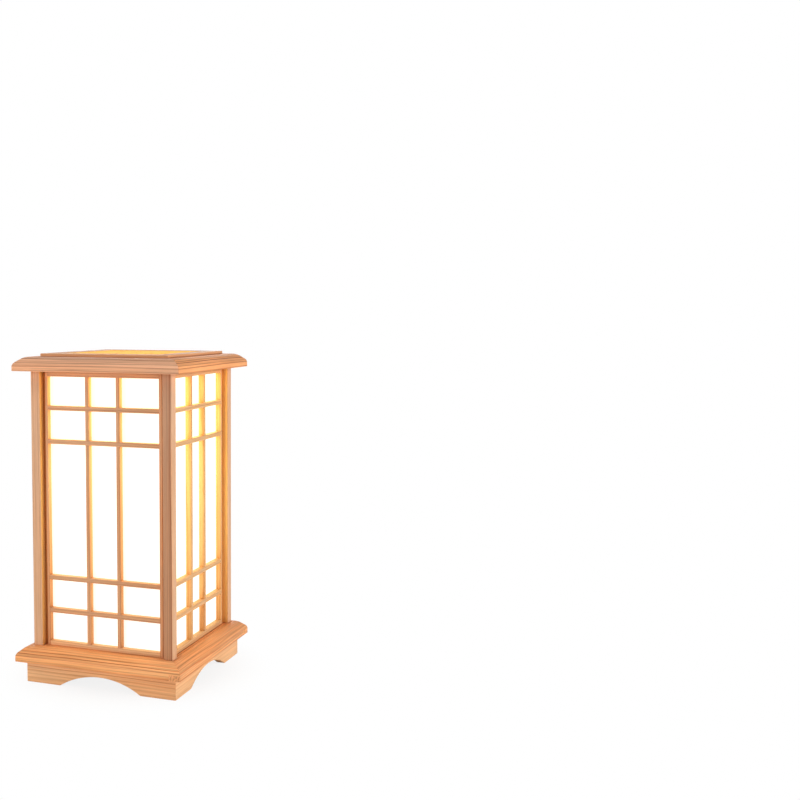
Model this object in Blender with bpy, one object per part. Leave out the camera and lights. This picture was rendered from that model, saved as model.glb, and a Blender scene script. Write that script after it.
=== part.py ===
"""Shoji bedside lantern: a pine frame with papered lattice sides and a lift-off lid.

Metres, +Z up. The origin lies on the table under the middle of the lamp, and the front is the -Y side.
"""
import math

import bmesh
import bpy
from mathutils import Matrix, Vector

# Fits
CLEAR = 0.0003            # gap between pieces that touch
LID_FIT = 0.0005          # play of the lid frame in the opening of the cap
THREAD_FIT = 0.0005       # play of the bulb's screw cap in the lampholder
TENON_SHARE = 0.5         # part of a stick's section that its tenon takes

# Width over the base moulding, the widest place; the rest of the plan is set back from it
BASE_WIDTH = 0.2410
SKIRT_SETBACK = 0.0113
POST_SETBACK = 0.0185
CAP_SETBACK = 0.0005

# Skirt: four boards with an arch between their feet
SKIRT_HEIGHT = 0.0286
SKIRT_THICK = 0.0120
FOOT_LENGTH = 0.0503
ARCH_RISE = 0.0173
ARCH_STEPS = 20

# Mouldings of the base and the cap: a plain fascia, and a bevel with rounded arrises over it
BASE_RING = 0.0400
BASE_THICK = 0.0201
BASE_FASCIA = 0.0100
CAP_RING = 0.0400
CAP_THICK = 0.0186
CAP_FASCIA = 0.0093
BEVEL_RUN = 0.0120
LOW_ARRIS = 0.0065        # radius between the fascia and the bevel
HIGH_ARRIS = 0.0140       # radius between the bevel and the flat
ARRIS_STEPS = 3

# Corner posts
POST_SIZE = 0.0131
POST_LENGTH = 0.3678      # between the tenon shoulders
POST_TENON = 0.0100

# Lattice panels
PANEL_RECESS = 0.0070     # from the face of the posts to the face of the panel
PANEL_PROUD = 0.0019      # panel back behind the inner face of the posts
CORNER_GAP = 0.0020       # between a stile and the back of the next panel
SHADOW_SHARE = 0.48       # depth of the shadow line beside a stile, of the depth to the tongue's back
STILE_FACE = 0.0040
TOP_RAIL = 0.0073
BOTTOM_RAIL = 0.0058
UPRIGHT_FACE = 0.0052     # width of an upright kumiko bar
LEVEL_FACE = 0.0061       # height of a level kumiko bar
MIDDLE_COLUMN = 0.0396    # clear width between the two upright bars
ROW_HEIGHT = 0.0385       # clear height of each small row
SMALL_ROWS = 2            # small rows at each end of the panel
STUB_TENON = 0.0022
DIFFUSER_THICK = 0.0010

# Lid
LID_LAP = 0.0126          # from the opening of the cap to the edge of the lid
LID_STRIP = 0.0260
LID_THICK = 0.0037
LID_DROP = 0.0023         # depth of the step that sits in the opening of the cap
LID_LEDGE = 0.0040        # width of the ledge that carries the panel
LID_LEDGE_THICK = 0.0016
LID_PANEL_THICK = 0.0015

# Bottom board and its screws
BOARD_THICK = 0.0060
SCREW_RADIUS = 0.00175
SCREW_GRIP = 0.0100       # length of thread in the moulding
SCREW_HEAD_RADIUS = 0.0035
SCREW_HEAD = 0.0022

# Cord entry: nipple, nut and bush
NIPPLE_RADIUS = 0.0050
NIPPLE_BORE = 0.0035
NIPPLE_RISE = 0.0100      # above the floor of the lampholder's cap
NIPPLE_TAIL = 0.0020      # below the nut
NUT_RADIUS = 0.0085
NUT_THICK = 0.0040
BUSH_WALL = 0.0008
BUSH_SLEEVE = 0.0080
BUSH_FLANGE = 0.0012

# Lampholder
HOLDER_RADIUS = 0.0200
HOLDER_NECK = 0.0120
HOLDER_CAP_HEIGHT = 0.0220
HOLDER_SLOPE = 0.0100     # height of the cone at the foot of the cap
HOLDER_CAP_WALL = 0.0030
SHELL_HEIGHT = 0.0340
SHELL_WALL = 0.0018
SHELL_MOUTH = 0.0020      # from the bulb's screw cap to the lip of the shell
INSERT_HEIGHT = 0.0240
INSERT_FLOOR = 0.0050
CONTACT_RADIUS = 0.0050
CONTACT_THICK = 0.0016

# Bulb
BULB_CAP_RADIUS = 0.0132
BULB_CAP_LENGTH = 0.0270
BULB_CAP_WALL = 0.0010
BULB_TIP_RADIUS = 0.0045
BULB_TIP_LENGTH = 0.0060
THREAD_DEPTH = 0.0007
THREAD_PITCH = 0.0036
BULB_RADIUS = 0.0300
BULB_LENGTH = 0.0780
BULB_NECK = 0.0130
BULB_NECK_ANGLE = 125.0   # degrees from the crown to where the neck leaves the sphere
GLASS_WALL = 0.0010
BULB_STEPS = 10
NECK_STEPS = 5

# Facets round a turned piece
ROUND_STEPS = 24
SMALL_STEPS = 12
SHARP_ANGLE = 35.0        # degrees between faces that are shaded as an edge
WELD = 0.000001           # distance at which points of a turned piece are joined

# Levels from the table up
BASE_LOW = SKIRT_HEIGHT + CLEAR
DECK = BASE_LOW + BASE_THICK
POST_LOW = DECK + CLEAR
POST_HIGH = POST_LOW + POST_LENGTH
CAP_LOW = POST_HIGH + CLEAR
CAP_TOP = CAP_LOW + CAP_THICK
LID_LOW = CAP_TOP + CLEAR
LID_TOP = LID_LOW + LID_THICK
BOARD_TOP = BASE_LOW - CLEAR
BOARD_LOW = BOARD_TOP - BOARD_THICK
HOLDER_LOW = BOARD_TOP + CLEAR
SHELL_LOW = HOLDER_LOW + HOLDER_CAP_HEIGHT + CLEAR
CONTACT_LOW = SHELL_LOW + INSERT_FLOOR + CLEAR
BULB_LOW = CONTACT_LOW + CONTACT_THICK + CLEAR
GLASS_LOW = BULB_LOW + BULB_CAP_LENGTH + CLEAR
NUT_LOW = BOARD_LOW - CLEAR - NUT_THICK
NIPPLE_LOW = NUT_LOW - NIPPLE_TAIL

# Widths over the outer faces
SKIRT_SPAN = BASE_WIDTH - 2.0 * SKIRT_SETBACK
POST_SPAN = BASE_WIDTH - 2.0 * POST_SETBACK
CAP_WIDTH = BASE_WIDTH - 2.0 * CAP_SETBACK
CAP_OPENING = CAP_WIDTH - 2.0 * CAP_RING
LID_WIDTH = CAP_OPENING + 2.0 * LID_LAP

# Plan of the front panel: y grows inwards, and x is measured from the middle
POST_SIDE = POST_SPAN / 2 - POST_SIZE
PANEL_FRONT = PANEL_RECESS - POST_SPAN / 2
PANEL_BACK = PANEL_PROUD - POST_SIDE
TONGUE_BACK = -POST_SIDE - CLEAR
TONGUE_FRONT = PANEL_FRONT + SHADOW_SHARE * (TONGUE_BACK - PANEL_FRONT)
TONGUE_END = POST_SIDE - CLEAR
STILE_OUTER = -PANEL_BACK - CORNER_GAP
STILE_INNER = STILE_OUTER - STILE_FACE
RAIL_END = STILE_INNER - CLEAR
BOTTOM_RAIL_TOP = POST_LOW + BOTTOM_RAIL
TOP_RAIL_LOW = POST_HIGH - TOP_RAIL
BOARD_HALF = SKIRT_SPAN / 2 - SKIRT_THICK - CLEAR
SCREW_Y = -(BOARD_HALF + BASE_WIDTH / 2 - BASE_RING) / 2
MITRE_BACK = CLEAR / math.sqrt(2.0)

SIDES = ("front", "right", "back", "left")
CORNERS = ("front_left", "front_right", "back_right", "back_left")


def finish(name, colour, roughness, metallic=0.0):
    """A plain Principled finish; the colour is given as display values from 0 to 255."""
    material = bpy.data.materials.new(name)
    material.use_nodes = True
    shader = material.node_tree.nodes["Principled BSDF"]
    linear = [(value / 255.0) ** 2.2 for value in colour]
    shader.inputs["Base Color"].default_value = (*linear, 1.0)
    shader.inputs["Roughness"].default_value = roughness
    shader.inputs["Metallic"].default_value = metallic
    return material


def empty(name, parent=None, height=0.0, turn=0.0):
    """A guide that carries pieces, turned about Z."""
    guide = bpy.data.objects.new(name, None)
    bpy.context.scene.collection.objects.link(guide)
    guide.parent = parent
    guide.location.z = height
    guide.rotation_euler.z = turn
    return guide


def place(name, mesh, parent=None, drop=0.0):
    """Put a mesh in the scene under its parent; drop takes the parent's height off again."""
    piece = bpy.data.objects.new(name, mesh)
    bpy.context.scene.collection.objects.link(piece)
    piece.parent = parent
    piece.location.z = -drop
    return piece


def close_mesh(name, bm, material=None):
    """Turn the faces outwards and make a mesh of the bmesh."""
    bmesh.ops.recalc_face_normals(bm, faces=bm.faces)
    mesh = bpy.data.meshes.new(name)
    bm.to_mesh(mesh)
    bm.free()
    if material:
        mesh.materials.append(material)
    return mesh


def smooth(mesh):
    """Shade a round piece smooth between its sharp edges."""
    mesh.shade_smooth()
    mesh.set_sharp_from_angle(angle=math.radians(SHARP_ANGLE))
    return mesh


def combine(mesh, other, operation):
    """Apply one Boolean to two meshes and return the result."""
    body = place("body", mesh)
    tool = place("tool", other)
    tool.hide_render = True
    tool.display_type = "WIRE"
    modifier = body.modifiers.new("boolean", "BOOLEAN")
    modifier.operation = operation
    modifier.solver = "EXACT"
    modifier.object = tool
    graph = bpy.context.evaluated_depsgraph_get()
    result = bpy.data.meshes.new_from_object(body.evaluated_get(graph))
    result.name = mesh.name
    bpy.data.objects.remove(body)
    bpy.data.objects.remove(tool)
    return result


def loft(bm, rings):
    """Skin a run of matching closed rings and cap both ends."""
    rows = [[bm.verts.new(point) for point in ring] for ring in rings]
    count = len(rows[0])
    for near, far in zip(rows, rows[1:]):
        for index in range(count):
            after = (index + 1) % count
            bm.faces.new((near[index], near[after], far[after], far[index]))
    bm.faces.new(tuple(reversed(rows[0])))
    bm.faces.new(tuple(rows[-1]))


def slab(bm, low, high):
    """Add a box between two corners."""
    plan = ((low[0], low[1]), (high[0], low[1]), (high[0], high[1]), (low[0], high[1]))
    loft(bm, [[(x, y, z) for x, y in plan] for z in (low[2], high[2])])


def stick(bm, low, high, axis, tenon, grow=0.0):
    """Add a stick between two corners with a tenon on each end; grow widens the tenons for a mortise."""
    first, second = [index for index in range(3) if index != axis]

    def ring(at, share, extra):
        points = []
        for side_a, side_b in ((-1, -1), (1, -1), (1, 1), (-1, 1)):
            point = [0.0, 0.0, 0.0]
            point[axis] = at
            for index, side in ((first, side_a), (second, side_b)):
                half = (high[index] - low[index]) / 2 * share + extra
                point[index] = (high[index] + low[index]) / 2 + side * half
            points.append(point)
        return points

    loft(bm, [
        ring(low[axis] - tenon - grow, TENON_SHARE, grow),
        ring(low[axis], TENON_SHARE, grow),
        ring(low[axis], 1.0, 0.0),
        ring(high[axis], 1.0, 0.0),
        ring(high[axis], TENON_SHARE, grow),
        ring(high[axis] + tenon + grow, TENON_SHARE, grow),
    ])


def turned(bm, outline, closed=True, centre=(0.0, 0.0), steps=ROUND_STEPS):
    """Spin an outline of (radius, height) points about an upright axis."""
    verts = [bm.verts.new((centre[0] + radius, centre[1], height)) for radius, height in outline]
    pairs = list(zip(verts, verts[1:]))
    if closed:
        pairs.append((verts[-1], verts[0]))
    edges = [bm.edges.new(pair) for pair in pairs]
    bmesh.ops.spin(
        bm, geom=verts + edges, cent=(centre[0], centre[1], 0.0), axis=(0.0, 0.0, 1.0),
        angle=2.0 * math.pi, steps=steps, use_merge=True, use_duplicate=False,
    )
    bmesh.ops.remove_doubles(bm, verts=bm.verts, dist=WELD)


def rod(bm, radius, low, high, centre=(0.0, 0.0)):
    """Add an upright round bar."""
    turned(bm, ((0.0, low), (radius, low), (radius, high), (0.0, high)), False, centre, SMALL_STEPS)


def mitred(bm, profile):
    """Run a profile of (y, z) points along X, with both ends mitred at 45 degrees."""
    loft(bm, [[(side * (-y - MITRE_BACK), y, z) for y, z in profile] for side in (-1, 1)])


def rounded(before, corner, after, radius):
    """Points of the arc that rounds a corner of an outline, on the way from before to after."""
    corner = Vector(corner)
    back = (Vector(before) - corner).normalized()
    ahead = (Vector(after) - corner).normalized()
    half_angle = back.angle(ahead) / 2
    centre = corner + (back + ahead).normalized() * radius / math.sin(half_angle)
    arm = corner + back * radius / math.tan(half_angle) - centre
    sweep = math.copysign(math.pi - 2.0 * half_angle, -back.cross(ahead))
    turns = [Matrix.Rotation(sweep * step / ARRIS_STEPS, 2) for step in range(ARRIS_STEPS + 1)]
    return [tuple(centre + turn @ arm) for turn in turns]


def moulding_profile(half, ring, low, thick, fascia):
    """Fascia at the outer face, the bevel above it, then flat to the inner edge."""
    foot = (-half, low)
    arris = (-half, low + fascia)
    brow = (BEVEL_RUN - half, low + thick)
    rear = (ring - half, low + thick)
    crest = rounded(rear, brow, arris, HIGH_ARRIS)
    nose = rounded(brow, arris, foot, LOW_ARRIS)
    return [foot, (ring - half, low), rear, *crest, *nose]


def post_stick(bm, corner_x, grow=0.0):
    """A corner post of the front side, tenoned into the base and the cap."""
    centre = POST_SPAN / 2 - POST_SIZE / 2
    low = (corner_x * centre - POST_SIZE / 2, -POST_SPAN / 2, POST_LOW)
    high = (corner_x * centre + POST_SIZE / 2, -POST_SIDE, POST_HIGH)
    stick(bm, low, high, 2, POST_TENON, grow)


def skirt_mesh(material):
    """A skirt board: two feet joined by a circular arch, with mitred ends."""
    half_gap = SKIRT_SPAN / 2 - FOOT_LENGTH
    radius = (half_gap ** 2 + ARCH_RISE ** 2) / (2.0 * ARCH_RISE)
    sweep = math.asin(half_gap / radius)
    arch = []
    for step in range(ARCH_STEPS + 1):
        angle = sweep * (2.0 * step / ARCH_STEPS - 1.0)
        arch.append((radius * math.sin(angle), radius * math.cos(angle) - radius + ARCH_RISE))
    rings = []
    for half in (SKIRT_SPAN / 2, SKIRT_SPAN / 2 - SKIRT_THICK):
        end = half - MITRE_BACK
        outline = [(-end, SKIRT_HEIGHT), (-end, 0.0), *arch, (end, 0.0), (end, SKIRT_HEIGHT)]
        rings.append([(x, -half, z) for x, z in outline])
    bm = bmesh.new()
    loft(bm, rings)
    return close_mesh("skirt", bm, material)


def screw_shank(bm, centre, grow=0.0):
    """The shank of a board screw, from under the board up into the moulding."""
    rod(bm, SCREW_RADIUS + grow, BOARD_LOW - SCREW_HEAD, BASE_LOW + SCREW_GRIP + grow, centre)


def moulding_mesh(name, profile, material):
    """A mitred moulding with mortises for the posts and a hole for the board screw."""
    bm = bmesh.new()
    mitred(bm, profile)
    cutter = bmesh.new()
    for corner_x in (-1, 1):
        post_stick(cutter, corner_x, CLEAR)
    screw_shank(cutter, (0.0, SCREW_Y), CLEAR)
    return combine(close_mesh(name, bm, material), close_mesh("mortises", cutter), "DIFFERENCE")


def post_mesh(material):
    """The post at the left end of a side."""
    bm = bmesh.new()
    post_stick(bm, -1)
    return close_mesh("post", bm, material)


def upright_bars(bm, grow=0.0):
    """The two upright kumiko bars."""
    for side in (-1, 1):
        centre = side * (MIDDLE_COLUMN + UPRIGHT_FACE) / 2
        low = (centre - UPRIGHT_FACE / 2, PANEL_FRONT, BOTTOM_RAIL_TOP + CLEAR)
        high = (centre + UPRIGHT_FACE / 2, PANEL_BACK, TOP_RAIL_LOW - CLEAR)
        stick(bm, low, high, 2, STUB_TENON, grow)


def level_bars(bm, grow=0.0):
    """The level kumiko bars, stacked in small rows from both rails."""
    for row in range(SMALL_ROWS):
        inset = (row + 1) * ROW_HEIGHT + row * LEVEL_FACE
        for low_z in (BOTTOM_RAIL_TOP + inset, TOP_RAIL_LOW - inset - LEVEL_FACE):
            low = (-RAIL_END, PANEL_FRONT, low_z)
            high = (RAIL_END, PANEL_BACK, low_z + LEVEL_FACE)
            stick(bm, low, high, 0, STUB_TENON, grow)


def rail(bm, low_z, high_z, grow=0.0):
    """A rail between the stiles."""
    stick(bm, (-RAIL_END, PANEL_FRONT, low_z), (RAIL_END, PANEL_BACK, high_z), 0, STUB_TENON, grow)


def rails(bm, grow=0.0):
    """Both rails of a panel."""
    rail(bm, POST_LOW, BOTTOM_RAIL_TOP, grow)
    rail(bm, TOP_RAIL_LOW, POST_HIGH, grow)


def lattice_mesh(material):
    """Upright and level bars lapped and glued into one lattice."""
    uprights = bmesh.new()
    upright_bars(uprights)
    levels = bmesh.new()
    level_bars(levels)
    return combine(close_mesh("lattice", uprights, material), close_mesh("levels", levels), "UNION")


def stile_mesh(side, material):
    """A stile with a tongue against the post, set back to leave a shadow line."""
    section = (
        (STILE_INNER, PANEL_FRONT), (STILE_OUTER, PANEL_FRONT), (STILE_OUTER, TONGUE_FRONT),
        (TONGUE_END, TONGUE_FRONT), (TONGUE_END, TONGUE_BACK), (STILE_OUTER, TONGUE_BACK),
        (STILE_OUTER, PANEL_BACK), (STILE_INNER, PANEL_BACK),
    )
    bm = bmesh.new()
    loft(bm, [[(side * x, y, z) for x, y in section] for z in (POST_LOW, POST_HIGH)])
    cutter = bmesh.new()
    rails(cutter, CLEAR)
    level_bars(cutter, CLEAR)
    return combine(close_mesh("stile", bm, material), close_mesh("mortises", cutter), "DIFFERENCE")


def rail_mesh(low_z, high_z, material):
    """A rail with mortises for the upright bars."""
    bm = bmesh.new()
    rail(bm, low_z, high_z)
    cutter = bmesh.new()
    upright_bars(cutter, CLEAR)
    return combine(close_mesh("rail", bm, material), close_mesh("mortises", cutter), "DIFFERENCE")


def diffuser_mesh(material):
    """The sheet glued to the back of a panel."""
    front = PANEL_BACK + CLEAR
    back = front + DIFFUSER_THICK
    half = -back - CLEAR
    bm = bmesh.new()
    slab(bm, (-half, front, POST_LOW), (half, back, POST_HIGH))
    return close_mesh("diffuser", bm, material)


def lid_strip_mesh(material):
    """A strip of the lid frame, stepped below for the opening of the cap and rebated above for the panel."""
    half = LID_WIDTH / 2
    step = LID_FIT - CAP_OPENING / 2
    inner = LID_STRIP - half
    rebate = inner - LID_LEDGE
    foot = LID_LOW - LID_DROP
    ledge = LID_LOW + LID_LEDGE_THICK
    under = ((-half, LID_LOW), (step, LID_LOW), (step, foot), (inner, foot))
    over = ((inner, ledge), (rebate, ledge), (rebate, LID_TOP), (-half, LID_TOP))
    bm = bmesh.new()
    mitred(bm, under + over)
    return close_mesh("lid_strip", bm, material)


def lid_panel_mesh(material):
    """The panel, let into the top of the lid frame."""
    half = LID_WIDTH / 2 - LID_STRIP + LID_LEDGE - CLEAR
    low = LID_LOW + LID_LEDGE_THICK + CLEAR
    bm = bmesh.new()
    slab(bm, (-half, -half, low), (half, half, low + LID_PANEL_THICK))
    return close_mesh("lid_panel", bm, material)


def board_mesh(material):
    """The bottom board, bored for its screws and for the nipple."""
    bm = bmesh.new()
    slab(bm, (-BOARD_HALF, -BOARD_HALF, BOARD_LOW), (BOARD_HALF, BOARD_HALF, BOARD_TOP))
    cutter = bmesh.new()
    for centre in ((0.0, SCREW_Y), (-SCREW_Y, 0.0), (0.0, -SCREW_Y), (SCREW_Y, 0.0)):
        screw_shank(cutter, centre, CLEAR)
    rod(cutter, NIPPLE_RADIUS + CLEAR, BOARD_LOW - NUT_THICK, BOARD_TOP + NUT_THICK)
    return combine(close_mesh("board", bm, material), close_mesh("bores", cutter), "DIFFERENCE")


def screw_mesh(material):
    """A pan-head screw, driven up from under the board."""
    head_top = BOARD_LOW - CLEAR
    tip = BASE_LOW + SCREW_GRIP
    outline = (
        (0.0, head_top - SCREW_HEAD), (SCREW_HEAD_RADIUS, head_top - SCREW_HEAD),
        (SCREW_HEAD_RADIUS, head_top), (SCREW_RADIUS, head_top),
        (SCREW_RADIUS, tip - SCREW_RADIUS), (0.0, tip),
    )
    bm = bmesh.new()
    turned(bm, outline, False, (0.0, SCREW_Y), SMALL_STEPS)
    return smooth(close_mesh("screw", bm, material))


def ring_mesh(name, outline, material, closed=True, steps=ROUND_STEPS):
    """A turned piece on the lamp's own axis."""
    bm = bmesh.new()
    turned(bm, outline, closed, steps=steps)
    return smooth(close_mesh(name, bm, material))


def nipple_mesh(material):
    """The threaded tube that the cord runs through."""
    top = HOLDER_LOW + HOLDER_CAP_WALL + NIPPLE_RISE
    outline = (
        (NIPPLE_BORE, NIPPLE_LOW), (NIPPLE_RADIUS, NIPPLE_LOW),
        (NIPPLE_RADIUS, top), (NIPPLE_BORE, top),
    )
    return ring_mesh("nipple", outline, material, steps=SMALL_STEPS)


def nut_mesh(material):
    """A hexagon nut under the board."""
    angles = [math.pi / 3 * corner for corner in range(6)]
    plan = [(NUT_RADIUS * math.cos(angle), NUT_RADIUS * math.sin(angle)) for angle in angles]
    bm = bmesh.new()
    loft(bm, [[(x, y, z) for x, y in plan] for z in (NUT_LOW, NUT_LOW + NUT_THICK)])
    cutter = bmesh.new()
    rod(cutter, NIPPLE_RADIUS + CLEAR, NUT_LOW - NUT_THICK, NUT_LOW + 2.0 * NUT_THICK)
    return combine(close_mesh("nut", bm, material), close_mesh("bore", cutter), "DIFFERENCE")


def bush_mesh(material):
    """The flanged bush in the nipple's mouth."""
    sleeve = NIPPLE_BORE - CLEAR
    bore = sleeve - BUSH_WALL
    seat = NIPPLE_LOW - CLEAR
    outline = (
        (bore, seat - BUSH_FLANGE), (NIPPLE_RADIUS, seat - BUSH_FLANGE), (NIPPLE_RADIUS, seat),
        (sleeve, seat), (sleeve, seat + BUSH_SLEEVE), (bore, seat + BUSH_SLEEVE),
    )
    return ring_mesh("bush", outline, material, steps=SMALL_STEPS)


def holder_cap_mesh(material):
    """The cone-footed cap of the lampholder, seated on the board."""
    hole = NIPPLE_RADIUS + CLEAR
    top = HOLDER_LOW + HOLDER_CAP_HEIGHT
    inner = HOLDER_RADIUS - HOLDER_CAP_WALL
    outline = (
        (hole, HOLDER_LOW), (HOLDER_NECK, HOLDER_LOW), (HOLDER_RADIUS, HOLDER_LOW + HOLDER_SLOPE),
        (HOLDER_RADIUS, top), (inner, top), (inner, HOLDER_LOW + HOLDER_SLOPE),
        (HOLDER_NECK, HOLDER_LOW + HOLDER_CAP_WALL), (hole, HOLDER_LOW + HOLDER_CAP_WALL),
    )
    return ring_mesh("holder_cap", outline, material)


def holder_shell_mesh(material):
    """The sleeve of the lampholder, with a lip round the bulb."""
    bore = HOLDER_RADIUS - SHELL_WALL
    lip = BULB_CAP_RADIUS + SHELL_MOUTH
    top = SHELL_LOW + SHELL_HEIGHT
    outline = (
        (bore, SHELL_LOW), (HOLDER_RADIUS, SHELL_LOW), (HOLDER_RADIUS, top),
        (lip, top), (lip, top - SHELL_WALL), (bore, top - SHELL_WALL),
    )
    return ring_mesh("holder_shell", outline, material)


def holder_insert_mesh(material):
    """The insulating cup that takes the bulb's screw cap."""
    outer = HOLDER_RADIUS - SHELL_WALL - CLEAR
    bore = BULB_CAP_RADIUS + THREAD_FIT
    top = SHELL_LOW + INSERT_HEIGHT
    floor = SHELL_LOW + INSERT_FLOOR
    outline = (
        (0.0, SHELL_LOW), (outer, SHELL_LOW), (outer, top),
        (bore, top), (bore, floor), (0.0, floor),
    )
    return ring_mesh("holder_insert", outline, material, False)


def contact_mesh(material):
    """The centre contact on the floor of the insert."""
    top = CONTACT_LOW + CONTACT_THICK
    middle = CONTACT_LOW + CONTACT_THICK / 2
    crown = BULB_TIP_RADIUS / 2
    outline = (
        (0.0, CONTACT_LOW), (CONTACT_RADIUS, CONTACT_LOW), (CONTACT_RADIUS, middle),
        (crown, top), (0.0, top),
    )
    return ring_mesh("contact", outline, material, False, SMALL_STEPS)


def bulb_cap_mesh(material):
    """The bulb's screw cap: tip, shoulder, rolled thread and open top."""
    root = BULB_CAP_RADIUS - THREAD_DEPTH
    shoulder = BULB_LOW + BULB_TIP_LENGTH
    top = BULB_LOW + BULB_CAP_LENGTH
    bore = root - BULB_CAP_WALL
    outline = [
        (0.0, BULB_LOW), (BULB_TIP_RADIUS, BULB_LOW),
        (BULB_TIP_RADIUS, BULB_LOW + BULB_TIP_LENGTH / 3), (root, shoulder),
    ]
    turns = int((BULB_CAP_LENGTH - BULB_TIP_LENGTH) / THREAD_PITCH)
    for turn in range(turns):
        start = shoulder + turn * THREAD_PITCH
        outline.append((BULB_CAP_RADIUS, start + THREAD_PITCH / 2))
        outline.append((root, start + THREAD_PITCH))
    floor = shoulder + BULB_CAP_WALL
    outline += [(root, top), (bore, top), (bore, floor), (0.0, floor)]
    return ring_mesh("bulb_cap", outline, material, False)


def bulb_curve(radius, neck):
    """Crown to neck: part of a sphere, then a smooth run into the straight neck."""
    centre = GLASS_LOW + BULB_LENGTH - BULB_RADIUS
    last = math.radians(BULB_NECK_ANGLE)
    points = []
    for step in range(BULB_STEPS + 1):
        angle = last * step / BULB_STEPS
        points.append((radius * math.sin(angle), centre + radius * math.cos(angle)))
    start_radius, start_height = points[-1]
    fall = start_height - GLASS_LOW
    slope = fall / math.tan(last)
    for step in range(1, NECK_STEPS + 1):
        t = step / NECK_STEPS
        ease = t * t * (3.0 - 2.0 * t)
        lead = t * (1.0 - t) ** 2
        reach = start_radius + (neck - start_radius) * ease + slope * lead
        points.append((reach, start_height - fall * t))
    return points


def glass_mesh(material):
    """The frosted glass, a hollow shell open at its neck."""
    outer = bulb_curve(BULB_RADIUS, BULB_NECK)
    inner = bulb_curve(BULB_RADIUS - GLASS_WALL, BULB_NECK - GLASS_WALL)
    return ring_mesh("glass", [*outer, *reversed(inner)], material, False)


def build():
    """Clear the scene and put the lantern together."""
    for old in list(bpy.data.objects):
        bpy.data.objects.remove(old)

    pine = finish("pine", (224, 172, 124), 0.5)
    pine_base = finish("pine_base", (226, 160, 106), 0.5)
    pine_bar = finish("pine_bar", (214, 158, 112), 0.55)
    ply = finish("ply", (206, 164, 118), 0.65)
    paper = finish("paper", (250, 240, 214), 0.8)
    flecked_paper = finish("flecked_paper", (250, 216, 140), 0.8)
    steel = finish("steel", (170, 170, 172), 0.35, 1.0)
    brass = finish("brass", (196, 164, 92), 0.35, 1.0)
    black = finish("black_plastic", (30, 30, 32), 0.45)
    white = finish("white_ceramic", (236, 234, 226), 0.3)
    frosted = finish("frosted_glass", (246, 244, 238), 0.5)

    base_profile = moulding_profile(BASE_WIDTH / 2, BASE_RING, BASE_LOW, BASE_THICK, BASE_FASCIA)
    cap_profile = moulding_profile(CAP_WIDTH / 2, CAP_RING, CAP_LOW, CAP_THICK, CAP_FASCIA)
    side_meshes = {
        "skirt_{}": skirt_mesh(pine_base),
        "base_moulding_{}": moulding_mesh("base_moulding", base_profile, pine_base),
        "cap_moulding_{}": moulding_mesh("cap_moulding", cap_profile, pine),
        "{}_stile_left": stile_mesh(-1, pine_bar),
        "{}_stile_right": stile_mesh(1, pine_bar),
        "{}_top_rail": rail_mesh(TOP_RAIL_LOW, POST_HIGH, pine_bar),
        "{}_bottom_rail": rail_mesh(POST_LOW, BOTTOM_RAIL_TOP, pine_bar),
        "{}_lattice": lattice_mesh(pine_bar),
        "{}_diffuser": diffuser_mesh(paper),
        "board_screw_{}": screw_mesh(steel),
    }
    post = post_mesh(pine)
    lid_strip = lid_strip_mesh(pine)

    lamp = empty("lamp")
    lid = empty("lid", lamp, LID_LOW)
    bulb = empty("bulb", lamp, BULB_LOW)
    for index, (side, corner) in enumerate(zip(SIDES, CORNERS)):
        turn = index * math.pi / 2
        frame_side = empty("side_" + side, lamp, 0.0, turn)
        lid_side = empty("lid_side_" + side, lid, 0.0, turn)
        for pattern, mesh in side_meshes.items():
            place(pattern.format(side), mesh, frame_side)
        place("post_" + corner, post, frame_side)
        place("lid_strip_" + side, lid_strip, lid_side, LID_LOW)

    place("lid_panel", lid_panel_mesh(flecked_paper), lid, LID_LOW)
    place("bottom_board", board_mesh(ply), lamp)
    place("cord_nipple", nipple_mesh(steel), lamp)
    place("nipple_nut", nut_mesh(steel), lamp)
    place("cord_bush", bush_mesh(black), lamp)
    place("holder_cap", holder_cap_mesh(black), lamp)
    place("holder_shell", holder_shell_mesh(black), lamp)
    place("holder_insert", holder_insert_mesh(white), lamp)
    place("holder_contact", contact_mesh(brass), lamp)
    place("bulb_screw_cap", bulb_cap_mesh(brass), bulb, BULB_LOW)
    place("bulb_glass", glass_mesh(frosted), bulb, BULB_LOW)


build()
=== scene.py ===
"""Looks of the shoji bedside lantern: eased pine, lit sheets and fittings, set round its solids."""
import math

import bpy
import numpy as np
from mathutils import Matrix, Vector


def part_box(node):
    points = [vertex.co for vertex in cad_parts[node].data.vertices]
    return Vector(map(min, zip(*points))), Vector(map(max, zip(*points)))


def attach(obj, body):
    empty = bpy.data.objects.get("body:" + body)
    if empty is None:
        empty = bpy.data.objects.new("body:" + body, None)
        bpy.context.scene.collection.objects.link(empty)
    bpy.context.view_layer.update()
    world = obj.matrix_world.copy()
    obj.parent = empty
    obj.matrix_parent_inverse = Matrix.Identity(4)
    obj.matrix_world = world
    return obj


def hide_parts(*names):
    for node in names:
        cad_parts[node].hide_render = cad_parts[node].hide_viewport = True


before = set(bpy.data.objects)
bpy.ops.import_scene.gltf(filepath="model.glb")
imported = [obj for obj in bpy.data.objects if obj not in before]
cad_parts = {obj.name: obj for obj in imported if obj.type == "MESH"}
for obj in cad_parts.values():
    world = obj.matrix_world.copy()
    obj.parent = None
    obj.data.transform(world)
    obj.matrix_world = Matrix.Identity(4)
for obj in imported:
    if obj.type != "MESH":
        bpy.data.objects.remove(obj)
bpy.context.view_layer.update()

SIDES = ("front", "right", "back", "left")
CORNERS = ("front_left", "front_right", "back_right", "back_left")
FINISH = " finish"  # put after the name of every material
FIGURE = "pine figure"  # the node group that draws the wood

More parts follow.
